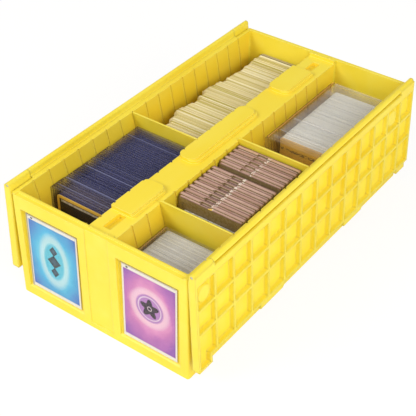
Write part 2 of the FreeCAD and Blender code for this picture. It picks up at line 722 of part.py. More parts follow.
def card_stack(label, low_x, width, low_z, height, front, thickness, pitch=None, count=None):
    """An upright plain card, or several one behind the other as separate solids."""
    stack = new_body(label, compound=True)
    face = plane_sketch(stack, "card_outline", "XZ_Plane", f"0 - ({front})")
    draw_outline(face, [(low_x, low_z), (f"{low_x} + {width}", low_z),
                        (f"{low_x} + {width}", f"{low_z} + {height}"),
                        (low_x, f"{low_z} + {height}")])
    card = pad(stack, face, thickness, reverse=True, name="card")
    if count:
        repeat_back(stack, [card], pitch, count, "cards")
    return stack


def holder_stack(label, low_x, width, low_z, height, front, thickness,
                 slot_width, slot, slot_floor, corner, pitch=None, count=None):
    """One upright card holder or several, open at the top, with clipped top corners."""
    stack = new_body(label, compound=True)
    face = plane_sketch(stack, "holder_outline", "XZ_Plane", f"0 - ({front})")
    high_x = f"{low_x} + {width}"
    high_z = f"{low_z} + {height}"
    draw_outline(face, [(low_x, low_z), (high_x, low_z), (high_x, f"{high_z} - {corner}"),
                        (f"{high_x} - {corner}", high_z), (f"{low_x} + {corner}", high_z),
                        (low_x, f"{high_z} - {corner}")])
    holder = pad(stack, face, thickness, reverse=True, name="holder")
    mouth = plane_sketch(stack, "slot_outline", "XY_Plane", high_z)
    middle = f"({low_x} + {width} / 2)"
    centre = f"({front} + {thickness} / 2)"
    draw_outline(mouth, [(f"{middle} - {slot_width} / 2", f"{centre} - {slot} / 2"),
                         (f"{middle} + {slot_width} / 2", f"{centre} - {slot} / 2"),
                         (f"{middle} + {slot_width} / 2", f"{centre} + {slot} / 2"),
                         (f"{middle} - {slot_width} / 2", f"{centre} + {slot} / 2")])
    slotted = pocket(stack, mouth, f"{height} - {slot_floor}", name="slot")
    if count:
        repeat_back(stack, [holder, slotted], pitch, count, "holders")
    return stack


def loader_pair(name, side, front, count, empty="0"):
    """A stack of rigid holders and the cards in them. The first few holders may be empty."""
    if side < 0:
        low_x = f"(0 - {ROW_OUTER} + Sizes.side_gap)"
    else:
        low_x = f"({ROW_OUTER} - Sizes.side_gap - Sizes.loader_width)"
    start = f"({FRONT} + {front})"
    holders = holder_stack(f"{name}_holders", low_x, "Sizes.loader_width", SEAT,
                           "Sizes.loader_height", start, "Sizes.loader_thickness",
                           "Sizes.loader_slot_width", "Sizes.loader_slot",
                           "Sizes.loader_slot_floor", "Sizes.case_corner",
                           "Sizes.loader_pitch", count)
    inset = "(Sizes.loader_width - Sizes.card_width) / 2"
    middle = (f"({start} + Sizes.loader_pitch * {empty} + Sizes.loader_thickness / 2"
              " - Sizes.card_thickness / 2)")
    cards = card_stack(f"{name}_cards", f"({low_x} + {inset})", "Sizes.card_width",
                       f"({SEAT} + Sizes.loader_slot_floor)", "Sizes.card_height", middle,
                       "Sizes.card_thickness", "Sizes.loader_pitch", f"{count} - {empty}")
    return [holders, cards]


# How far each bundle of bare cards stands off the side wall, from the front to the back.
RAW_OFFSETS = [20, 17, 13, 15, 18, 14, 10, 13, 17, 19, 20, 18.5, 18, 19.5]


def raw_stack(label):
    """Bare cards in bundles that were pushed in unevenly, each bundle a solid."""
    bundles = []
    for step in range(int(size("Sizes.raw_bundle_count"))):
        bundle = doc.addObject("Part::Box", f"raw_bundle_{step + 1}")
        bundle.setExpression("Length", "Sizes.card_width")
        bundle.setExpression("Width", "Sizes.raw_bundle - Sizes.raw_bundle_gap")
        bundle.setExpression("Height", "Sizes.raw_height")
        offset = RAW_OFFSETS[step % len(RAW_OFFSETS)]
        bundle.setExpression(
            "Placement.Base.x", f"{offset} * Sizes.raw_unevenness - {ROW_OUTER}")
        bundle.setExpression(
            "Placement.Base.y", f"{FRONT} + Sizes.raw_front + Sizes.raw_bundle * {step}")
        bundle.setExpression("Placement.Base.z", SEAT)
        bundles.append(bundle)
    stack = doc.addObject("Part::Compound", label)
    stack.Label = label
    stack.Links = bundles
    return stack


def sleeved_pair():
    """Packs of soft-sleeved cards in front of the first partition of the right row."""
    low_x = f"({ROW_INNER} + Sizes.sleeved_from_beam)"
    start = f"({FRONT} + Sizes.sleeved_front)"
    slot = "(Sizes.sleeved_thickness - 2 * Sizes.sleeve_wall)"
    sleeves = holder_stack("sleeved_sleeves", low_x, "Sizes.sleeved_width", SEAT,
                           "Sizes.sleeve_height", start, "Sizes.sleeved_thickness",
                           "(Sizes.sleeved_width - 2 * Sizes.sleeve_wall)", slot,
                           "Sizes.sleeve_wall", "Sizes.sleeve_wall",
                           "Sizes.sleeved_pitch", "Sizes.sleeved_count")
    inset = "(Sizes.sleeved_width - Sizes.card_width) / 2"
    middle = f"({start} + 2 * Sizes.sleeve_wall)"
    cards = card_stack("sleeved_cards", f"({low_x} + {inset})", "Sizes.card_width",
                       f"({SEAT} + Sizes.sleeve_wall)", "Sizes.card_height", middle,
                       "(Sizes.sleeved_thickness - 4 * Sizes.sleeve_wall)",
                       "Sizes.sleeved_pitch", "Sizes.sleeved_count")
    return [sleeves, cards]


def make_case(number):
    """A rigid two-part card case: a full-height back shell and a lower front shell."""
    case = new_body(f"card_case_{number + 1:02d}")
    half = "Sizes.case_width / 2"
    drop = "Sizes.low_case_drop" if number + 1 == int(size("Sizes.low_case")) else "0"
    back = "(Sizes.case_thickness - Sizes.case_lip)"
    front_shell = plane_sketch(case, "front_shell_outline", "XZ_Plane", "0")
    rim = "Sizes.case_lip_inset"
    draw_rounded(front_shell, f"{rim} - {half}", f"{half} - {rim}", rim,
                 f"Sizes.case_height - {drop} - {rim}", "Sizes.case_corner")
    pad(case, front_shell, "Sizes.case_lip", reverse=True, name="front_shell")
    back_shell = plane_sketch(case, "back_shell_outline", "XZ_Plane", "0 - Sizes.case_lip")
    draw_rounded(back_shell, f"0 - {half}", half, "0", f"Sizes.case_height - {drop}",
                 "Sizes.case_corner")
    pad(case, back_shell, back, reverse=True, name="back_shell")
    border = "Sizes.case_recess_border"
    recess = plane_sketch(case, "recess_outline", "XZ_Plane", "0")
    draw_rounded(recess, f"{border} - {half}", f"{half} - {border}", border,
                 f"Sizes.case_height - {drop} - {border}", "Sizes.case_corner")
    pocket(case, recess, "Sizes.case_recess", name="front_recess")
    notch = plane_sketch(case, "notch_outline", "XY_Plane", f"Sizes.case_height - {drop}")
    draw_outline(notch, [("0 - Sizes.case_notch_width", "Sizes.case_lip - Sizes.case_lip_inset"),
                         ("0", "Sizes.case_lip - Sizes.case_lip_inset"),
                         ("0", f"Sizes.case_lip + {back} / 2"),
                         ("0 - Sizes.case_notch_width", f"Sizes.case_lip + {back} / 2")])
    pocket(case, notch, "Sizes.case_notch_depth", name="thumb_notch")
    case.setExpression("Placement.Base.x", f"{ROW_INNER} + Sizes.case_from_beam + {half}")
    case.setExpression("Placement.Base.y",
                       f"{FRONT} + Sizes.case_front + Sizes.case_pitch * {number}")
    case.setExpression("Placement.Base.z", SEAT)
    return case


def make_loose_card():
    """A sleeved card that stands against the first case, its foot on the slanted partition."""
    back = f"({FRONT} + Sizes.case_front - Sizes.loose_card_gap)"
    front = f"({back} - Sizes.loose_card_thickness)"
    rim = f"({FRONT} + Sizes.right_groove_first + Sizes.groove_pitch * Sizes.front_partition_groove)"
    foot = (f"(Sizes.tub_height - ({front} - {rim} - Sizes.partition_thickness / 2) / {SLANT}"
            f" + Sizes.seat_gap / {SLANT})")
    low_x = f"({ROW_INNER} + Sizes.loose_card_side)"
    return card_stack("loose_card", low_x, "Sizes.sleeve_width", foot, "Sizes.sleeve_height",
                      front, "Sizes.loose_card_thickness")


def display_pair(name, side):
    """A sleeve and its card, leaning back on the sloping back of a display window."""
    slope = ("atan((Sizes.window_top_depth - Sizes.window_sill_depth)"
             " / (Sizes.window_height - Sizes.window_sill_rise))")
    half = "Sizes.sleeve_width / 2"
    depth = "(Sizes.display_thickness + 4 * Sizes.sleeve_wall)"
    sleeve = holder_stack(f"{name}_sleeve", f"(0 - {half})", "Sizes.sleeve_width", "0",
                          "Sizes.sleeve_height", f"(0 - {depth})", depth,
                          "(Sizes.sleeve_width - 2 * Sizes.sleeve_wall)",
                          f"({depth} - 2 * Sizes.sleeve_wall)", "Sizes.display_seam",
                          "Sizes.sleeve_wall")
    card = card_stack(f"{name}_card", "(0 - Sizes.card_width / 2)", "Sizes.card_width",
                      "Sizes.display_seam", "Sizes.card_height",
                      "(0 - Sizes.display_thickness - 2 * Sizes.sleeve_wall)",
                      "Sizes.display_thickness")
    for piece in (sleeve, card):
        piece.Placement = FreeCAD.Placement(
            FreeCAD.Vector(0, 0, 0), FreeCAD.Rotation(FreeCAD.Vector(-1, 0, 0), 1))
        piece.setExpression("Placement.Base.x", f"{side} * Sizes.window_centre")
        piece.setExpression("Placement.Base.y",
                            f"{FRONT} + Sizes.window_sill_depth - Sizes.seat_gap")
        piece.setExpression("Placement.Base.z",
                            "Sizes.window_sill + Sizes.window_sill_rise + Sizes.seat_gap")
        piece.setExpression("Placement.Rotation.Angle", slope)
    return [sleeve, card]


def make_parts():
    parts = [make_tub(), make_flap("flap_left", -1), make_flap("flap_right", 1),
             make_rod("hinge_rod_left", -1), make_rod("hinge_rod_right", 1)]
    parts += [
        make_partition("partition_left", "Sizes.left_groove_first",
                       "Sizes.left_partition_groove", -1),
        make_partition("partition_right_front", "Sizes.right_groove_first",
                       "Sizes.front_partition_groove", 1),
        make_partition("partition_right_rear", "Sizes.right_groove_first",
                       "Sizes.rear_partition_groove", 1),
    ]
    parts += display_pair("display_left", -1) + display_pair("display_right", 1)
    parts += loader_pair("left", -1, "Sizes.left_loader_front", "Sizes.left_loader_count")
    parts += loader_pair("rear", 1, "Sizes.rear_loader_front", "Sizes.rear_loader_count",
                         "Sizes.rear_empty_loaders")
    parts += [raw_stack("raw_cards")]
    parts += sleeved_pair()
    parts += [make_case(number) for number in range(int(size("Sizes.case_count")))]
    parts += [make_loose_card()]
    return parts


def check_document(parts):
    """Stops the build when an object failed or a sub-part has no valid shape."""
    doc.recompute()
    for item in doc.Objects:
        if "Invalid" in item.State or "Error" in item.State:
            raise RuntimeError(f"{item.Label} failed: {item.State}")
    for part in parts:
        if part.Shape.isNull() or not part.Shape.isValid():
            raise RuntimeError(f"{part.Label} has no valid shape")


parts = make_parts()
check_document(parts)
for part in parts:
    part.Shape.exportStep(f"parts/{part.Label}.step")
    print(part.Label, len(part.Shape.Solids), round(part.Shape.Volume / 1000, 2), "cm3")
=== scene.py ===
import math
import random
from collections import namedtuple

import bmesh
import bpy
from mathutils import Matrix, Vector


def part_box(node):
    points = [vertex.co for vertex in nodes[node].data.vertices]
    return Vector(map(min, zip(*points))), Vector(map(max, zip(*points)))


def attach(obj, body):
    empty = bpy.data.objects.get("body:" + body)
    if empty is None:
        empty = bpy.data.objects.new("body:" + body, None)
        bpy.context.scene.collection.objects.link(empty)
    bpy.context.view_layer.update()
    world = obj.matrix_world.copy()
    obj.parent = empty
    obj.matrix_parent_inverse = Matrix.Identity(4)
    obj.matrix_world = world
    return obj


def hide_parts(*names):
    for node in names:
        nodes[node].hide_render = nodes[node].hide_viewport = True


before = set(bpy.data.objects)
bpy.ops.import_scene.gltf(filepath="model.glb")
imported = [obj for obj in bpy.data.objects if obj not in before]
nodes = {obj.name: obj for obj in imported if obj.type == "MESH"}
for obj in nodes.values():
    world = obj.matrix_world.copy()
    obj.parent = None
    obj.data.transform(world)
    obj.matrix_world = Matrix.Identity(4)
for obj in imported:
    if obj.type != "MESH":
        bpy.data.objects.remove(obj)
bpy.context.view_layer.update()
scene = bpy.context.scene

# Sizes and places are in millimetres, which MM turns into Blender's metres. X runs across the bin,
# Y from its display windows to its back, and Z up.
MM = 0.001

# Camera: focal length in pixels of a 416 pixel frame, then where it stands and looks
FRAME_PIXELS = 416
FOCAL_PIXELS = 1047.3
AZIMUTH = math.radians(36.20)
ELEVATION = math.radians(38.43)
ROLL = math.radians(0.14)
CAMERA_AT = Vector((504.9, -715.7, 722.3))
SENSOR = 36.0
NEAREST_SEEN = 10
FARTHEST_SEEN = 20000

# Cards, what holds them, and how far apart they stand in their rows
CARD_WIDTH = 63.0
CARD_CORNER = 3.0
CORNER_STEPS = 3
HOLDER_PITCH = 3.02
POCKET_CARD = 2.3
SLEEVE_PITCH = 3.2
SHEET_GAP = 0.12
SLEEVED_PITCH = 1.02
SLEEVED_CARD = 0.7
SLEEVED_WIDTH = 62.8
CREAM_PITCH = 0.62
CREAM_CARD = 0.55

# Unevenness: how far things in a row shift at random from side to side, and how much lower some stand
HOLDER_SHIFT = 0.25
HOLDER_SUNK = 0.25
POCKET_SUNK = 0.6
SLEEVED_SHIFT = 0.5
SLEEVED_SUNK = 0.5
CREAM_SHIFT = 0.35
CREAM_SUNK = 0.7

# The bare cards' shifts also add up, in steps up to a limit, and a few of the cards stand lower yet
CREAM_STEP = 0.55
CREAM_DRIFT = 1.6
CREAM_LOW_CHANCE = 0.08
CREAM_LOW = 1.2

# Holders and sleeves in groups: how many, how far from the wall, and how low
NAVY_GROUPS = [
    (6, 0.0, 0.9), (5, 1.6, 0.2), (7, 0.5, 1.3), (4, 2.4, 0.0), (6, 1.0, 0.8), (7, 3.0, 0.3), (8, 2.0, 1.0),
]
REAR_GROUPS = [(44, 0.0, 0.0)]
SLEEVE_GROUPS = [(20, 0.0, 0.0)]

# Distances of the bundles of bare cards from the left wall, from the front to the back
CREAM_OFFSETS = [20, 17, 13, 15, 18, 14, 10, 13, 17, 19, 20, 18.5, 18, 19.5]


def millimetres(node):
    """The lowest and the highest corner of a node's box."""
    low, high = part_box(node)
    return [part / MM for part in low], [part / MM for part in high]


def camera():
    """The camera at the photograph's viewing angle."""
    forward = Vector((
        -math.sin(AZIMUTH) * math.cos(ELEVATION),
        math.cos(AZIMUTH) * math.cos(ELEVATION),
        -math.sin(ELEVATION),
    ))
    right = forward.cross(Vector((0, 0, 1))).normalized()
    up = right.cross(forward)
    turned_right = math.cos(ROLL) * right + math.sin(ROLL) * up
    turned_up = math.cos(ROLL) * up - math.sin(ROLL) * right
    data = bpy.data.cameras.new("camera")
    data.sensor_width = SENSOR
    data.lens = FOCAL_PIXELS * SENSOR / FRAME_PIXELS
    data.clip_start = NEAREST_SEEN * MM
    data.clip_end = FARTHEST_SEEN * MM
    made = bpy.data.objects.new("camera", data)
    rotation = Matrix((turned_right, turned_up, -forward)).transposed()
    made.matrix_world = Matrix.Translation(CAMERA_AT * MM) @ rotation.to_4x4()
    scene.collection.objects.link(made)
    scene.camera = made


class Shader:
    """A material's node tree, with short calls for the nodes that it needs.

    Its place is where a point lies on the object, and x, y and z are the same in millimetres.
    """

    def __init__(self, name):
        self.material = bpy.data.materials.new(name)
        self.material.use_nodes = True
        self.tree = self.material.node_tree
        self.tree.nodes.clear()
        self.output = self.node("OutputMaterial")
        self.coordinates = self.node("TexCoord")
        self.place = self.coordinates.outputs["Object"]
        self.x, self.y, self.z = self.parts(self.stretched(1 / MM, 1 / MM, 1 / MM))

    def node(self, kind, **settings):
        made = self.tree.nodes.new("ShaderNode" + kind)
        for key, value in settings.items():
            setattr(made, key, value)
        return made

    def link(self, source, target):
        self.tree.links.new(source, target)

    def put(self, value, socket):
        """Give a socket another node's output, a colour or a number."""
        if isinstance(value, bpy.types.NodeSocket):
            self.link(value, socket)
        elif isinstance(value, tuple) and socket.type == "RGBA":
            socket.default_value = (*value, 1)
        else:
            socket.default_value = value

    def calculated(self, operation, *values):
        made = self.node("Math", operation=operation)
        for value, socket in zip(values, made.inputs):
            self.put(value, socket)
        return made.outputs[0]

    def plus(self, first, second):
        return self.calculated("ADD", first, second)

    def minus(self, first, second):
        return self.calculated("SUBTRACT", first, second)

    def over(self, first, second):
        return self.calculated("DIVIDE", first, second)

    def times(self, product, *factors):
        for factor in factors:
            product = self.calculated("MULTIPLY", product, factor)
        return product

    def largest(self, found, *others):
        for other in others:
            found = self.calculated("MAXIMUM", found, other)
        return found

    def absolute(self, value):
        return self.calculated("ABSOLUTE", value)

    def parts(self, vector):
        made = self.node("SeparateXYZ")
        self.link(vector, made.inputs[0])
        return made.outputs

    def stretched(self, x, y, z):
        made = self.node("Mapping")
        self.link(self.place, made.inputs["Vector"])
        made.inputs["Scale"].default_value = (x, y, z)
        return made.outputs["Vector"]

    def noise(self, scale, detail=2.0):
        """Noise over the object. Its scale, per metre, is one number or one for each axis."""
        made = self.node("TexNoise")
        stretching = isinstance(scale, tuple)
        self.link(self.stretched(*scale) if stretching else self.place, made.inputs["Vector"])
        made.inputs["Scale"].default_value = 1.0 if stretching else scale
        made.inputs["Detail"].default_value = detail
        return made.outputs["Fac"]

    def facing_up(self):
        """One on level tops, nought on upright faces."""
        return self.parts(self.coordinates.outputs["Normal"])["Z"]

    def ramp(self, value, low, high, at_low=0.0, at_high=1.0):
        """A value carried from one range into another, and held beyond its ends."""
        made = self.node("MapRange", clamp=True)
        self.put(value, made.inputs["Value"])
        self.put(low, made.inputs["From Min"])
        self.put(high, made.inputs["From Max"])
        self.put(at_low, made.inputs["To Min"])
        self.put(at_high, made.inputs["To Max"])
        return made.outputs["Result"]

    def above(self, value, limit, soft):
        """Nought below a limit and one above it, with a soft step between."""
        return self.ramp(value, limit - soft, limit + soft)

    def below(self, value, limit, soft):
        """One below a limit and nought above it, with a soft step between."""
        return self.ramp(value, limit - soft, limit + soft, 1.0, 0.0)

    def band(self, value, low, high, soft):
        """One between two values and nought outside them, with soft ends."""
        return self.times(self.above(value, low, soft), self.below(value, high, soft))

    def between(self, share, least, most):
        """A share of nought to one, carried into the range between two numbers."""
        return self.ramp(share, 0.0, 1.0, least, most)

    def spread(self, noise, least, most):
        """The usual reach of a noise, carried into the range between two numbers."""
        return self.ramp(noise, 0.3, 0.7, least, most)

    def item(self, start, pitch):
        """For the items of a row along Y: a random number each, and how far through it a point lies."""
        count = self.over(self.minus(self.y, start), pitch)
        made = self.node("TexWhiteNoise", noise_dimensions="1D")
        self.link(self.calculated("FLOOR", count), made.inputs["W"])
        return made.outputs["Value"], self.calculated("FRACT", count)

    def mix(self, share, first, second):
        """A blend of two colours, with the share of the second one."""
        made = self.node("Mix", data_type="RGBA")
        self.put(share, made.inputs[0])
        # Its two colours come after its numbers and vectors
        self.put(first, made.inputs[6])
        self.put(second, made.inputs[7])
        return made.outputs[2]

    def mix_shaders(self, share, first, second):
        made = self.node("MixShader")
        self.put(share, made.inputs[0])
        self.link(first, made.inputs[1])
        self.link(second, made.inputs[2])
        return made.outputs[0]

    def bump(self, pattern, strength, height, normal=None):
        """A normal for a pattern that stands so many millimetres high."""
        made = self.node("Bump")
        self.link(pattern, made.inputs["Height"])
        made.inputs["Strength"].default_value = strength
        made.inputs["Distance"].default_value = height * MM
        if normal is not None:
            self.link(normal, made.inputs["Normal"])
        return made.outputs["Normal"]

    def principled(self, **values):
        made = self.node("BsdfPrincipled")
        for key, value in values.items():
            self.put(value, made.inputs[key.replace("_", " ")])
        return made.outputs[0]

    def finish(self, surface):
        self.link(surface, self.output.inputs["Surface"])
        return self.material


# Yellow plastic: two tones, a pale one for flow marks and painted edge highlights, and painted inside shade
YELLOW = (0.94, 0.780, 0.060)
YELLOW_DEEP = (0.93, 0.725, 0.038)
YELLOW_FLOW_AND_EDGE_HIGHLIGHT = (0.99, 0.90, 0.22)
YELLOW_INSIDE_SHADE = (1.0, 0.665, 0.032)

# Painted orange shade inside the tub: on the faces of the side walls and the front wall, not the rear wall's.
# Its colour is full up to the deep height, has the rim's share at the rim, and a small one on the beam.
INSIDE_HALF_WIDTH = 100.2
INSIDE_FRONT = -190.6
INSIDE_REAR = 191.0
INSIDE_SOFT = 0.3
DEEP_HEIGHT = 55
RIM_HEIGHT = 121
RIM_SHARE = 0.30
BEAM_HEIGHT = 101
BEAM_SHARE = 0.15

# Soft edges: how closely the rounded normal agrees with the true one on flat faces and on edges
EDGE_SAMPLES = 6
FLAT_AGREEMENT = 0.995
EDGE_AGREEMENT = 0.80


def soft_edge(shader, radius):
    """A normal that rounds the edges off, and a share that is one on edges and nought on flat faces."""
    rounded = shader.node("Bevel", samples=EDGE_SAMPLES)
    rounded.inputs["Radius"].default_value = radius * MM
    agreement = shader.node("VectorMath", operation="DOT_PRODUCT")
    shader.link(rounded.outputs[0], agreement.inputs[0])
    shader.link(shader.node("NewGeometry").outputs["Normal"], agreement.inputs[1])
    return rounded.outputs[0], shader.ramp(agreement.outputs["Value"], FLAT_AGREEMENT, EDGE_AGREEMENT)


def yellow_plastic(name, edge_radius, edge_highlight_share, inside=None):
    """Moulded satin plastic: soft edges with painted highlights, slow colour drift, flow marks and a fine
    grain.

    Inside is a function that says how far a point takes the painted orange shade of the tub's inside.
    """
    shader = Shader(name)
    normal, edge = soft_edge(shader, edge_radius)
    drift = shader.noise(9.0, detail=3.0)
    flow = shader.noise((60, 9, 60))
    colour = shader.mix(shader.ramp(drift, 0.35, 0.65), YELLOW_DEEP, YELLOW)
    colour = shader.mix(shader.ramp(flow, 0.45, 0.75, at_high=0.15), colour, YELLOW_FLOW_AND_EDGE_HIGHLIGHT)
    if inside is not None:
        # Painted orange shade inside the tub, where plastic faces plastic
        colour = shader.mix(inside(shader), colour, YELLOW_INSIDE_SHADE)
    # Painted highlights on the rounded edges
    colour = shader.mix(shader.times(edge, edge_highlight_share), colour, YELLOW_FLOW_AND_EDGE_HIGHLIGHT)
    grain = shader.noise(1400.0)
    waves = shader.noise(28.0)
    normal = shader.bump(grain, strength=0.12, height=0.05, normal=normal)
    normal = shader.bump(waves, strength=0.10, height=0.6, normal=normal)
    return shader.finish(shader.principled(
        Base_Color=colour, Roughness=shader.spread(drift, 0.34, 0.44), Normal=normal, Specular_IOR_Level=0.45,
    ))


def tub_inside_shade(shader):
    """The painted orange shade deep between the tub's walls, where the plastic only sees more plastic."""
    across = shader.band(shader.x, -INSIDE_HALF_WIDTH, INSIDE_HALF_WIDTH, INSIDE_SOFT)
    along = shader.band(shader.y, INSIDE_FRONT, INSIDE_REAR, INSIDE_SOFT)
    depth = shader.ramp(shader.z, DEEP_HEIGHT, RIM_HEIGHT, 1.0, RIM_SHARE)
    level = shader.ramp(shader.facing_up(), 0.5, 0.8)
    beam_top = shader.times(level, shader.above(shader.z, BEAM_HEIGHT, 1.0))
    return shader.times(across, along, depth, shader.between(beam_top, 1.0, BEAM_SHARE))


def brushed_steel(name):
    """Drawn steel wire, with fine lines along it."""
    shader = Shader(name)
    lines = shader.noise((9000, 40, 9000))
    dark, light = (0.50, 0.50, 0.51), (0.68, 0.68, 0.69)
    return shader.finish(shader.principled(
        Base_Color=shader.mix(lines, dark, light), Metallic=1.0, Roughness=shader.spread(lines, 0.25, 0.4),
    ))


# A row of clear sheets. They have a margin beside their cards, which begins more or less softly, and in
# which only a share of the haze is left.
SheetRow = namedtuple("SheetRow", "left right start pitch top margin margin_soft margin_share")

# Clear sheets, from their tops down and from their left sides in
TOP_EDGE = 2.0
SIDE_EDGE = 1.0
SEAM_START = 2.8
SEAM_END = 4.0
SHEET_SOFT = 0.2

# Both display sleeves are painted as one sheet, which takes in all of their depth
DISPLAY_START = -300
DISPLAY_DEPTH = 400


def sheet_row(node, pitch, margin, margin_soft, margin_share, top_below=0.0):
    """The row of a node's sheets, whose tops can end below the top of the node's box."""
    low, high = millimetres(node)
    return SheetRow(
        left=low[0], right=high[0], start=low[1], pitch=pitch, top=high[2] - top_below,
        margin=margin, margin_soft=margin_soft, margin_share=margin_share,
    )


def display_row():
    """The display sleeves' row, from the left card's outer edge to the right card's."""
    return SheetRow(
        left=millimetres("display_left_card")[0][0], right=millimetres("display_right_card")[1][0],
        start=DISPLAY_START, pitch=DISPLAY_DEPTH, top=millimetres("display_left_sleeve")[1][2],
        margin=1.0, margin_soft=0.5, margin_share=0.12,
    )


def dimmed(colour, factor):
    return tuple(part * factor for part in colour)


def raised(colour, power):
    """A colour made deeper by a power above one, or paler by one below it."""
    return tuple(part ** power for part in colour)


def clear_sheet(name, row, tint, haze, haze_share, rim, rim_share, side,
                front_haze=None, front_depth=0.0, front_share=1.0):
    """Clear sheets in a row: haze over the cards, clearer margins, and edges that catch light.

    The tint is the colour of the light that passes. Haze is the colour of the faces, rim is the painted
    highlight on the top edges, and their shares say how much of them shows. Side is the colour of the
    margins and of the sides, partly the sheets' own tint and partly a painted reflection of the yellow tub.
    As far back as the front's depth, the sheets have a haze colour of their own and only a share of the haze.
    """
    shader = Shader(name)
    tone, through = shader.item(row.start, row.pitch)
    over_cards = shader.band(shader.x, row.left + row.margin, row.right - row.margin, row.margin_soft)
    at_top = shader.above(shader.z, row.top - TOP_EDGE, SHEET_SOFT)

    # Faces
    share = shader.between(over_cards, haze_share * row.margin_share, haze_share)
    share = shader.times(share, shader.between(tone, 0.6, 1.4))
    colour = shader.mix(tone, dimmed(haze, 0.66), haze)
    # Margins take the side colour: partly the sheets' tint and partly a painted reflection of the yellow tub
    colour = shader.mix(over_cards, side, colour)
    if front_haze is not None:
        ahead = shader.ramp(shader.y, row.start + front_depth / 2, row.start + front_depth, 1.0, 0.0)
        colour = shader.mix(ahead, colour, front_haze)
        share = shader.times(share, shader.between(ahead, 1.0, front_share))

    # Top edges, painted highlights that are brighter on some sheets, and painted shade in the gaps between
    # them
    shaded_gap = shader.times(at_top, shader.above(through, 0.72, 0.05), 0.5)
    colour = shader.mix(shaded_gap, colour, dimmed(haze, 0.35))
    bright = shader.ramp(tone, 0.80, 0.92, at_low=0.50)
    edge = shader.times(at_top, shader.below(through, 0.34, 0.05), bright)
    colour = shader.mix(edge, colour, rim)
    share = shader.largest(share, shader.times(edge, shader.between(over_cards, rim_share * 0.15, rim_share)))

    # The side by the wall, and a seam that runs beside the cards along the tops
    wall_side_reflection = shader.band(shader.x, row.left - SIDE_EDGE, row.left + SIDE_EDGE, SHEET_SOFT)
    seam = shader.band(shader.x, row.left + SEAM_START, row.left + SEAM_END, SHEET_SOFT)
    beside = shader.largest(shader.times(wall_side_reflection, 0.5), shader.times(at_top, seam))
    # Both take the side colour: partly the sheets' tint and partly a painted reflection of the yellow tub
    colour = shader.mix(beside, colour, side)
    share = shader.largest(share, shader.times(beside, 0.75))

    # Shadows stay thin, and all of it shines like a face that leans up and to the front
    shadow = shader.node("LightPath").outputs["Is Shadow Ray"]
    share = shader.times(share, shader.between(shadow, 1.0, 0.15))
    leaning = shader.node("CombineXYZ")
    leaning.inputs["Y"].default_value = -0.3
    leaning.inputs["Z"].default_value = 0.95
    scratches = shader.noise((300, 900, 80), detail=3.0)
    shine = shader.principled(
        Base_Color=colour, Roughness=shader.spread(scratches, 0.30, 0.45), Normal=leaning.outputs[0],
    )
    wear = shader.noise((120, 500, 60))
    clear = shader.node("BsdfTransparent")
    shader.put(shader.mix(wear, raised(tint, 1.5), raised(tint, 0.5)), clear.inputs["Color"])
    return shader.finish(shader.mix_shaders(share, clear.outputs[0], shine))


def card_rows(name, node, pitch, dark, light, edge, rough=0.5, front_card=None):
    """Upright cards in a row: each card has its own tone, and its top edge shows the pale core.

    Front card is a function that puts the first card's face over the row's colour.
    """
    shader = Shader(name)
    low, high = millimetres(node)
    single, through = shader.item(low[1], pitch)
    ink = shader.noise((120, 3, 240), detail=3.0)
    tone = shader.plus(shader.times(single, 0.7), shader.times(ink, 0.3))
    colour = shader.mix(tone, dark, light)
    core_depth = 1.75
    core = shader.times(
        shader.below(through, 0.26, 0.06),
        shader.above(shader.z, high[2] - core_depth, 0.25),
        shader.ramp(tone, 0.3, 0.8, at_low=0.25),
    )
    colour = shader.mix(core, colour, edge)
    if front_card is not None:
        colour = front_card(shader, low, high, colour)
    fibres = shader.noise(900.0)
    return shader.finish(shader.principled(
        Base_Color=colour, Roughness=shader.spread(ink, rough - 0.1, rough + 0.1),
        Normal=shader.bump(fibres, strength=0.1, height=0.1),
    ))


def framed_black_card(shader, low, high, colour):
    """The first card of the left row: black, with a gold border and a pale bar near its top."""
    gold, bar_tone = (0.93, 0.62, 0.09), (0.78, 0.75, 0.64)
    black, worn_black = (0.010, 0.009, 0.006), (0.045, 0.038, 0.022)
    border, picture_foot, face_depth = 3.2, 85, 1.1
    bar_left, bar_right, bar_top, bar_foot = 5.5, 7.0, 4.0, 6.8
    left, right, top = low[0], low[0] + CARD_WIDTH, high[2]
    grain = shader.noise(260.0, detail=3.0)
    picture = shader.times(
        shader.band(shader.x, left + border, right - border, 0.1),
        shader.band(shader.z, top - picture_foot, top - border, 0.1),
    )
    bar = shader.times(
        shader.band(shader.x, left + bar_left, right - bar_right, 0.1),
        shader.band(shader.z, top - bar_foot, top - bar_top, 0.2),
        shader.ramp(grain, 0.4, 0.6, 0.55, 0.9),
    )
    face = shader.mix(picture, gold, shader.mix(grain, black, worn_black))
    face = shader.mix(bar, face, bar_tone)
    return shader.mix(shader.below(shader.y, low[1] + face_depth, 0.1), colour, face)


def golden_front_card(shader, low, high, colour):
    """The first card of the rear row: a golden face that shines through the empty holders."""
    brown, gold, ink = (0.62, 0.34, 0.03), (0.86, 0.56, 0.09), (0.10, 0.06, 0.02)
    marks_top, marks_foot, face_depth = 11.5, 15, 0.6
    face = shader.mix(shader.noise(90.0, detail=3.0), brown, gold)
    marks = shader.times(
        shader.band(shader.z, high[2] - marks_foot, high[2] - marks_top, 0.3),
        shader.ramp(shader.noise(620.0, detail=1.0), 0.45, 0.55),
    )
    face = shader.mix(marks, face, ink)
    return shader.mix(shader.below(shader.y, low[1] + face_depth, 0.1), colour, face)


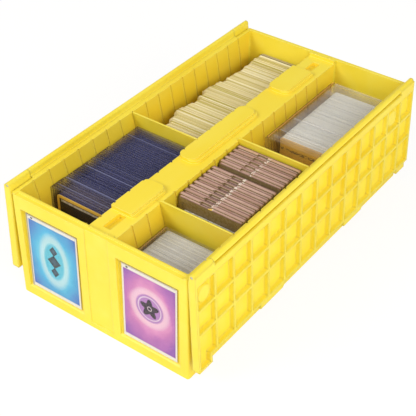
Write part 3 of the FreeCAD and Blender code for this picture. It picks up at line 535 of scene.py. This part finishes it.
def cream_paper(name):
    """Uncoated cream edges, each card with its own tone, and darker at the back: a black band, then brown."""
    tan, cream, mustard = (0.66, 0.55, 0.24), (0.93, 0.86, 0.55), (0.52, 0.44, 0.09)
    ivory, black, brown = (0.95, 0.91, 0.70), (0.03, 0.025, 0.02), (0.50, 0.42, 0.30)
    shader = Shader(name)
    low, high = millimetres("raw_cards")
    single, _ = shader.item(low[1], CREAM_PITCH)
    bundles = shader.noise((2, 420, 2))
    colour = shader.mix(single, tan, cream)
    colour = shader.mix(shader.ramp(bundles, 0.53, 0.64), colour, mustard)
    colour = shader.mix(shader.ramp(bundles, 0.34, 0.46, 0.8, 0.0), colour, ivory)
    brown_start, black_start = high[1] - 4.2, high[1] - 5.2
    colour = shader.mix(shader.times(shader.above(shader.y, brown_start, 0.1), 0.7), colour, brown)
    colour = shader.mix(shader.band(shader.y, black_start, brown_start, 0.1), colour, black)
    fibres = shader.noise(1100.0, detail=3.0)
    return shader.finish(shader.principled(
        Base_Color=colour, Roughness=shader.spread(fibres, 0.6, 0.8),
        Normal=shader.bump(fibres, strength=0.2, height=0.1),
    ))


def case_plastic(name):
    """A rigid clear case with a card sealed in it: pinkish top edges and olive sides."""
    shader = Shader(name)
    olive_dark, olive_light = (0.17, 0.115, 0.045), (0.30, 0.22, 0.10)
    side = shader.mix(shader.noise((40, 40, 700)), olive_dark, olive_light)
    colour = shader.mix(shader.ramp(shader.facing_up(), 0.4, 0.7), side, case_top(shader))
    scuffs = shader.noise(340.0, detail=3.0)
    return shader.finish(shader.principled(
        Base_Color=colour, Roughness=shader.ramp(scuffs, 0.35, 0.7, 0.18, 0.38),
        Normal=shader.bump(scuffs, strength=0.08, height=0.1), Coat_Weight=0.25,
    ))


def case_top(shader):
    """Case tops: streaks, seams, painted shade in gaps and notches, painted highlight specks along the
    middle.
    """
    pink_dark, pink_light, streak = (0.50, 0.30, 0.235), (0.66, 0.44, 0.36), (0.32, 0.15, 0.115)
    gap_shade, seam_tone, notch_shade = (0.15, 0.06, 0.045), (0.22, 0.09, 0.07), (0.06, 0.025, 0.02)
    speck_highlight, glint_tone = (0.84, 0.74, 0.64), (0.86, 0.56, 0.10)
    low, high = millimetres("card_case_01")
    start = low[1]
    pitch = millimetres("card_case_02")[0][1] - start
    middle = (low[0] + high[0]) / 2
    single, through = shader.item(start, pitch)

    # Streaks, painted shade in the gaps between the cases, and a seam along the middle of each
    top = shader.mix(single, pink_dark, pink_light)
    top = shader.mix(shader.ramp(shader.noise((60, 900, 60), detail=3.0), 0.55, 0.75), top, streak)
    shaded_gap = shader.minus(1.0, shader.band(through, 0.14, 0.80, 0.05))
    top = shader.mix(shader.times(shaded_gap, 0.8), top, gap_shade)
    seam = shader.band(through, 0.42, 0.50, 0.03)
    top = shader.mix(shader.times(seam, 0.35), top, seam_tone)

    # Painted shade in the thumb notches to the left of the middle, up to the ninth case, painted
    # highlight specks to the right of it, and a painted glint on the front case
    dashed_cases = 9
    notch_shade_mask = shader.times(
        shader.band(shader.x, middle - 13.5, middle - 0.5, 0.3),
        shader.band(through, 0.36, 0.56, 0.05),
        shader.ramp(shader.y, start + (dashed_cases - 0.1) * pitch, start + dashed_cases * pitch, 0.85, 0.0),
    )
    top = shader.mix(notch_shade_mask, top, notch_shade)
    highlight_speck = shader.times(
        shader.band(shader.x, middle + 0.2, middle + 3.4, 0.3),
        shader.ramp(shader.noise(520.0, detail=3.0), 0.47, 0.56),
    )
    top = shader.mix(highlight_speck, top, speck_highlight)
    glint = shader.times(
        shader.band(shader.x, middle - 1.5, middle + 2.5, 0.5),
        shader.ramp(shader.y, start + 1.5, start + 3.0, 1.0, 0.0),
    )
    return shader.mix(glint, top, glint_tone)


def dark_sleeved_card(name):
    """A black card in a clear sleeve: pale sleeve seams round a dark face."""
    black, worn_black, pale = (0.008, 0.008, 0.007), (0.05, 0.045, 0.035), (0.78, 0.76, 0.70)
    shader = Shader(name)
    low, high = millimetres("loose_card")
    seam_width, second_top, second_foot, side_width = 0.9, 2.7, 3.4, 1.2
    seam = shader.above(shader.z, high[2] - seam_width, 0.15)
    second_seam = shader.band(shader.z, high[2] - second_foot, high[2] - second_top, 0.15)
    second_seam = shader.times(second_seam, 0.7)
    sides = shader.minus(1.0, shader.band(shader.x, low[0] + side_width, high[0] - side_width, 0.2))
    wear = shader.noise(300.0, detail=3.0)
    lines = shader.times(shader.largest(seam, second_seam, sides), shader.ramp(wear, 0.3, 0.6, at_low=0.6))
    colour = shader.mix(lines, shader.mix(wear, black, worn_black), pale)
    return shader.finish(shader.principled(
        Base_Color=colour, Roughness=shader.spread(wear, 0.15, 0.3), Coat_Weight=0.4,
        Normal=shader.bump(wear, strength=0.1, height=0.1),
    ))


# Display cards: how far the picture reaches from the card's middle, and the dot in the border
PICTURE_HALF_WIDTH = 29.6
PICTURE_FOOT = -40.2
PICTURE_TOP = 40.0
DOT_ACROSS = -25.5
DOT_UP = 41.9

# The lozenges' heights over the card's middle, their half widths and their half heights
LOZENGES = [(13.0, 5.2, 6.0), (0.0, 8.6, 8.0), (-13.0, 5.2, 6.0)]

# The rosette: its height over the card's middle, its disc, and its petals' outline and heart
ROSETTE_UP = 5.0
DISC_RADIUS = 17.0
PETALS = 5.0
PETAL_RADIUS = 8.8
PETAL_SWING = 2.4
HEART_RADIUS = 2.6


def oval(shader, across, up, half_width, half_height):
    """The distance from an oval's middle, one on its line."""
    first = shader.calculated("POWER", shader.over(across, half_width), 2)
    second = shader.calculated("POWER", shader.over(up, half_height), 2)
    return shader.calculated("SQRT", shader.plus(first, second))


def printed_card(name, node, motif):
    """A glossy printed card with a white border, a dot in its corner and a motif in a glow.

    The motif is a function of the distances from the card's middle, across and up.
    """
    grey, white, ink = (0.80, 0.80, 0.80), (0.90, 0.90, 0.90), (0.06, 0.06, 0.10)
    shader = Shader(name)
    low, high = millimetres(node)
    across = shader.minus(shader.x, (low[0] + high[0]) / 2)
    up = shader.minus(shader.z, (low[2] + high[2]) / 2)
    dot = oval(shader, shader.minus(across, DOT_ACROSS), shader.minus(up, DOT_UP), 1.3, 1.1)
    paper = shader.mix(shader.noise(500.0), grey, white)
    paper = shader.mix(shader.below(dot, 1.0, 0.15), paper, ink)
    picture = shader.times(
        shader.band(across, -PICTURE_HALF_WIDTH, PICTURE_HALF_WIDTH, 0.12),
        shader.band(up, PICTURE_FOOT, PICTURE_TOP, 0.12),
    )
    colour = shader.mix(picture, paper, motif(shader, across, up))
    dots = shader.noise(2600.0, detail=1.0)
    return shader.finish(shader.principled(
        Base_Color=colour, Roughness=shader.spread(dots, 0.22, 0.34),
        Normal=shader.bump(dots, strength=0.05, height=0.02),
    ))


def lozenge_motif(shader, across, up):
    """Three dark lozenges above each other in a tall pale glow on blue."""
    blue, navy, bright_blue = (0.075, 0.52, 0.93), (0.075, 0.17, 0.66), (0.28, 0.80, 0.99)
    pale_blue, teal = (0.72, 0.88, 0.96), (0.05, 0.50, 0.80)
    dusk, night = (0.06, 0.13, 0.22), (0.025, 0.045, 0.075)
    cloud = shader.spread(shader.noise(60.0, detail=3.0), -0.08, 0.08)
    far = shader.plus(oval(shader, across, up, 30, 42), cloud)
    field = shader.mix(shader.ramp(far, 0.75, 1.35), blue, navy)
    field = shader.mix(shader.ramp(far, 0.35, 0.8, 1.0, 0.0), field, bright_blue)
    glow = oval(shader, across, up, 13.5, 23.5)
    field = shader.mix(shader.times(shader.band(glow, 0.98, 1.26, 0.24), 0.85), field, pale_blue)
    field = shader.mix(shader.ramp(glow, 0.85, 1.0, 0.75, 0.0), field, teal)
    for centre, half_width, half_height in LOZENGES:
        sideways = shader.absolute(shader.over(across, half_width))
        upward = shader.absolute(shader.over(shader.minus(up, centre), half_height))
        reach = shader.plus(sideways, upward)
        dark = shader.mix(shader.ramp(reach, 0.2, 0.9), dusk, night)
        field = shader.mix(shader.below(reach, 1.0, 0.06), field, dark)
    return field


def rosette_motif(shader, across, up):
    """A dark five-petalled rosette in thin rings on purple, a little above the card's middle."""
    pink, violet, bright_pink = (0.66, 0.22, 0.60), (0.30, 0.11, 0.55), (0.86, 0.42, 0.74)
    pale_pink, purple, lilac = (0.93, 0.80, 0.93), (0.42, 0.20, 0.62), (0.88, 0.76, 0.92)
    night, heart_tone = (0.035, 0.022, 0.055), (0.80, 0.64, 0.86)
    up = shader.minus(up, ROSETTE_UP)
    cloud = shader.spread(shader.noise(70.0, detail=3.0), -0.10, 0.10)
    far = shader.plus(oval(shader, across, up, 30, 40), cloud)
    field = shader.mix(shader.ramp(far, 0.70, 1.30), pink, violet)
    field = shader.mix(shader.ramp(far, 0.40, 0.85, 1.0, 0.0), field, bright_pink)
    disc = oval(shader, across, up, DISC_RADIUS, DISC_RADIUS)
    field = shader.mix(shader.times(shader.band(disc, 1.0, 1.22, 0.22), 0.9), field, pale_pink)
    field = shader.mix(shader.ramp(disc, 0.88, 0.98, 0.9, 0.0), field, purple)
    field = shader.mix(shader.times(shader.band(disc, 0.74, 0.80, 0.03), 0.9), field, lilac)
    turn = shader.calculated("ARCTAN2", across, up)
    swing = shader.calculated("COSINE", shader.times(turn, PETALS))
    petal_line = shader.calculated("MULTIPLY_ADD", swing, PETAL_SWING, PETAL_RADIUS)
    span = shader.over(oval(shader, across, up, 1, 1), petal_line)
    field = shader.mix(shader.below(span, 0.99, 0.06), field, night)
    heart = shader.band(oval(shader, across, up, HEART_RADIUS, HEART_RADIUS), 0.75, 1.0, 0.12)
    return shader.mix(heart, field, heart_tone)


def paint(material, *names):
    for name in names:
        made = nodes[name]
        made.data.materials.clear()
        made.data.materials.append(material)


def add_piece(name, mesh, material, body, node):
    """A finished mesh as a piece that moves with a body, in place of a CAD node."""
    data = bpy.data.meshes.new(name)
    mesh.to_mesh(data)
    mesh.free()
    made = bpy.data.objects.new(name, data)
    scene.collection.objects.link(made)
    made.data.materials.append(material)
    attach(made, body)
    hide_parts(node)


def card_outline(left, bottom, width, height):
    """A card's outline with rounded corners, counter-clockwise seen from the front."""
    inner_left, inner_right = left + CARD_CORNER, left + width - CARD_CORNER
    inner_bottom, inner_top = bottom + CARD_CORNER, bottom + height - CARD_CORNER
    points = []
    for centre_x, centre_z, start in (
        (inner_right, inner_bottom, -90), (inner_right, inner_top, 0),
        (inner_left, inner_top, 90), (inner_left, inner_bottom, 180),
    ):
        for step in range(CORNER_STEPS + 1):
            turn = math.radians(start + 90 * step / CORNER_STEPS)
            points.append((centre_x + CARD_CORNER * math.cos(turn), centre_z + CARD_CORNER * math.sin(turn)))
    return points


def add_card(mesh, left, bottom, width, height, front, thickness):
    """One thin card with rounded corners, standing upright across the row."""
    outline = card_outline(left, bottom, width, height)
    near = [mesh.verts.new((x * MM, front * MM, z * MM)) for x, z in outline]
    far = [mesh.verts.new((x * MM, (front + thickness) * MM, z * MM)) for x, z in outline]
    mesh.faces.new(near)
    mesh.faces.new(list(reversed(far)))
    count = len(outline)
    for step in range(count):
        after = (step + 1) % count
        mesh.faces.new((near[step], far[step], far[after], near[after]))


def held(value, low, high):
    return min(max(value, low), high)


def cream_row(material):
    """The bare cards as thin single sheets that stand unevenly, in place of the bundles."""
    random.seed(11)
    low, high = millimetres("raw_cards")
    wall = low[0] - min(CREAM_OFFSETS)
    bundle = (high[1] - low[1]) / len(CREAM_OFFSETS)
    mesh = bmesh.new()
    front = low[1]
    drift = 0.0
    while front < high[1] - CREAM_CARD:
        offset = CREAM_OFFSETS[min(int((front - low[1]) / bundle), len(CREAM_OFFSETS) - 1)]
        drift = held(drift + random.uniform(-CREAM_STEP, CREAM_STEP), -CREAM_DRIFT, CREAM_DRIFT)
        left = wall + offset + drift + random.uniform(-CREAM_SHIFT, CREAM_SHIFT)
        left = held(left, low[0], high[0] - CARD_WIDTH)
        sunk = random.uniform(0, CREAM_SUNK)
        if random.random() < CREAM_LOW_CHANCE:
            sunk += CREAM_LOW
        add_card(mesh, left, low[2], CARD_WIDTH, high[2] - low[2] - sunk, front, CREAM_CARD)
        front += CREAM_PITCH
    add_piece("cream_cards", mesh, material, "raw_stack", "raw_cards")


def sleeved_row(material):
    """The sleeved cards as single thin cards, in place of the runs of nine."""
    random.seed(5)
    low, high = millimetres("sleeved_cards")
    mesh = bmesh.new()
    front = low[1]
    while front < high[1] - SLEEVED_CARD:
        left = low[0] + random.uniform(-SLEEVED_SHIFT, SLEEVED_SHIFT)
        left = held(left, low[0], high[0] - SLEEVED_WIDTH)
        height = high[2] - low[2] - random.uniform(0, SLEEVED_SUNK)
        add_card(mesh, left, low[2], SLEEVED_WIDTH, height, front, SLEEVED_CARD)
        front += SLEEVED_PITCH
    add_piece("sleeved_thin", mesh, material, "sleeved_stack", "sleeved_cards")


def card_stack(name, node, body, material):
    """The cards of a row of holders, at the holders' pitch and nearly as thick as their pockets."""
    random.seed(7)
    low, high = millimetres(node)
    mesh = bmesh.new()
    for index in range(round((high[1] - low[1]) / HOLDER_PITCH)):
        height = high[2] - low[2] - random.uniform(0, POCKET_SUNK)
        add_card(mesh, low[0], low[2], CARD_WIDTH, height, low[1] + index * HOLDER_PITCH, POCKET_CARD)
    add_piece(name, mesh, material, body, node)


def holder_stack(name, node, body, groups, pitch, material):
    """A row of holders or sleeves as slabs with round corners, in groups that stand a little uneven."""
    random.seed(3)
    low, high = millimetres(node)
    mesh = bmesh.new()
    front = low[1]
    for count, shift, sunk in groups:
        for _ in range(count):
            left = low[0] + max(shift + random.uniform(-HOLDER_SHIFT, HOLDER_SHIFT), 0)
            height = high[2] - low[2] - sunk - random.uniform(0, HOLDER_SUNK)
            add_card(mesh, left, low[2], high[0] - low[0], height, front, pitch - SHEET_GAP)
            front += pitch
    add_piece(name, mesh, material, body, node)


# Floor and studio light
FLOOR_SIZE = 24000
FLOOR_DROP = 0.2
SKY = (1.0, 0.95, 0.86)
SKY_STRENGTH = 0.52
WHITE = (1.0, 1.0, 1.0)
LIGHTS_AIM = Vector((0, 0, 50))


def white_floor():
    """A white floor under the bin, which keeps only a faint shadow in the picture."""
    shader = Shader("floor_white")
    diffuse = shader.node("BsdfDiffuse")
    shader.put((0.93, 0.93, 0.93), diffuse.inputs["Color"])
    glow = shader.node("Emission")
    shader.put(WHITE, glow.inputs["Color"])
    shader.put(1.05, glow.inputs["Strength"])
    seen = shader.node("LightPath").outputs["Is Camera Ray"]
    surface = shader.mix_shaders(shader.times(seen, 0.82), diffuse.outputs[0], glow.outputs[0])
    bpy.ops.mesh.primitive_plane_add(size=FLOOR_SIZE * MM, location=(0, 0, -FLOOR_DROP * MM))
    floor = bpy.context.object
    floor.name = "floor"
    floor.data.materials.append(shader.finish(surface))


def studio_sky():
    """A warm sky that lights the bin, and plain white behind it in the picture."""
    world = bpy.data.worlds.new("studio")
    scene.world = world
    world.use_nodes = True
    tree = world.node_tree
    sky = tree.nodes["Background"]
    sky.inputs["Color"].default_value = (*SKY, 1)
    sky.inputs["Strength"].default_value = SKY_STRENGTH
    backdrop = tree.nodes.new("ShaderNodeBackground")
    backdrop.inputs["Color"].default_value = (*WHITE, 1)
    choice = tree.nodes.new("ShaderNodeMixShader")
    rays = tree.nodes.new("ShaderNodeLightPath")
    tree.links.new(rays.outputs["Is Camera Ray"], choice.inputs[0])
    tree.links.new(sky.outputs[0], choice.inputs[1])
    tree.links.new(backdrop.outputs[0], choice.inputs[2])
    tree.links.new(choice.outputs[0], tree.nodes["World Output"].inputs["Surface"])


def area_light(name, place, size, power):
    """A square lamp that shines on the bin."""
    data = bpy.data.lights.new(name, "AREA")
    data.shape = "SQUARE"
    data.size = size * MM
    data.energy = power
    made = bpy.data.objects.new(name, data)
    made.location = Vector(place) * MM
    made.rotation_euler = (LIGHTS_AIM - Vector(place)).to_track_quat("-Z", "Y").to_euler()
    scene.collection.objects.link(made)


camera()

# Bin
paint(yellow_plastic("tub_yellow", edge_radius=0.9, edge_highlight_share=0.8, inside=tub_inside_shade), "tub")
paint(yellow_plastic("flap_yellow", edge_radius=2.8, edge_highlight_share=0.30), "flap_left", "flap_right")
paint(
    yellow_plastic("partition_yellow", edge_radius=0.8, edge_highlight_share=1.0),
    "partition_left", "partition_right_front", "partition_right_rear",
)
paint(brushed_steel("rod_steel"), "hinge_rod_left", "hinge_rod_right")

# Holders and sleeves
navy_sheet = clear_sheet(
    "navy_holder",
    sheet_row("left_holders", HOLDER_PITCH, margin=3.6, margin_soft=2.2, margin_share=0.5, top_below=0.6),
    tint=(0.975, 0.965, 0.968), haze=(0.060, 0.066, 0.190), haze_share=0.17,
    rim=(0.26, 0.28, 0.50), rim_share=0.60, side=(0.085, 0.062, 0.062),
    front_haze=(0.160, 0.120, 0.080), front_depth=24, front_share=0.6,
)
rear_sheet = clear_sheet(
    "rear_holder",
    sheet_row("rear_holders", HOLDER_PITCH, margin=6.0, margin_soft=0.8, margin_share=0.03),
    tint=(0.9985, 0.997, 0.990), haze=(0.92, 0.93, 0.96), haze_share=0.040,
    rim=(0.95, 0.95, 0.96), rim_share=0.30, side=(0.62, 0.30, 0.04),
    front_haze=(0.62, 0.40, 0.12), front_depth=24, front_share=0.3,
)
sleeve_sheet = clear_sheet(
    "soft_sleeve",
    sheet_row("sleeved_sleeves", SLEEVE_PITCH, margin=3.0, margin_soft=0.8, margin_share=0.12),
    tint=(0.994, 0.990, 0.980), haze=(0.70, 0.70, 0.72), haze_share=0.05,
    rim=(0.66, 0.62, 0.55), rim_share=0.18, side=(0.48, 0.28, 0.09),
)
display_sheet = clear_sheet(
    "display_sleeve", display_row(),
    tint=(0.985, 0.975, 0.95), haze=(0.8, 0.8, 0.75), haze_share=0.02,
    rim=(0.9, 0.88, 0.8), rim_share=0.3, side=(0.8, 0.8, 0.7),
)
holder_stack(
    "navy_holders", "left_holders", "left_stack", NAVY_GROUPS, HOLDER_PITCH, navy_sheet,
)
holder_stack(
    "clear_holders", "rear_holders", "rear_stack", REAR_GROUPS, HOLDER_PITCH, rear_sheet,
)
holder_stack(
    "soft_sleeves", "sleeved_sleeves", "sleeved_stack", SLEEVE_GROUPS, SLEEVE_PITCH,
    sleeve_sheet,
)
paint(display_sheet, "display_left_sleeve", "display_right_sleeve")

# Cards
card_stack("navy_cards", "left_cards", "left_stack", card_rows(
    "navy_cards", "left_cards", HOLDER_PITCH, dark=(0.030, 0.036, 0.125), light=(0.075, 0.085, 0.290),
    edge=(0.26, 0.28, 0.47), rough=0.4, front_card=framed_black_card,
))
card_stack("pale_cards", "rear_cards", "rear_stack", card_rows(
    "pale_cards", "rear_cards", HOLDER_PITCH, dark=(0.74, 0.75, 0.79), light=(0.93, 0.94, 1.00),
    edge=(0.98, 0.98, 0.99), front_card=golden_front_card,
))
sleeved_row(card_rows(
    "grey_cards", "sleeved_cards", SLEEVED_PITCH, dark=(0.50, 0.51, 0.54), light=(0.86, 0.88, 0.93),
    edge=(0.84, 0.85, 0.88),
))
cream_row(cream_paper("cream_paper"))
paint(case_plastic("case_clear"), *[name for name in nodes if name.startswith("card_case_")])
paint(dark_sleeved_card("dark_sleeved"), "loose_card")
paint(printed_card("blue_print", "display_left_card", lozenge_motif), "display_left_card")
paint(printed_card("purple_print", "display_right_card", rosette_motif), "display_right_card")

# Floor and light
white_floor()
studio_sky()
area_light("key", (-900, -1600, 1500), size=1000, power=24)
area_light("fill", (1600, -600, 1100), size=1200, power=20.5)

scene.view_settings.view_transform = "Standard"
scene.cycles.transparent_max_bounces = 96
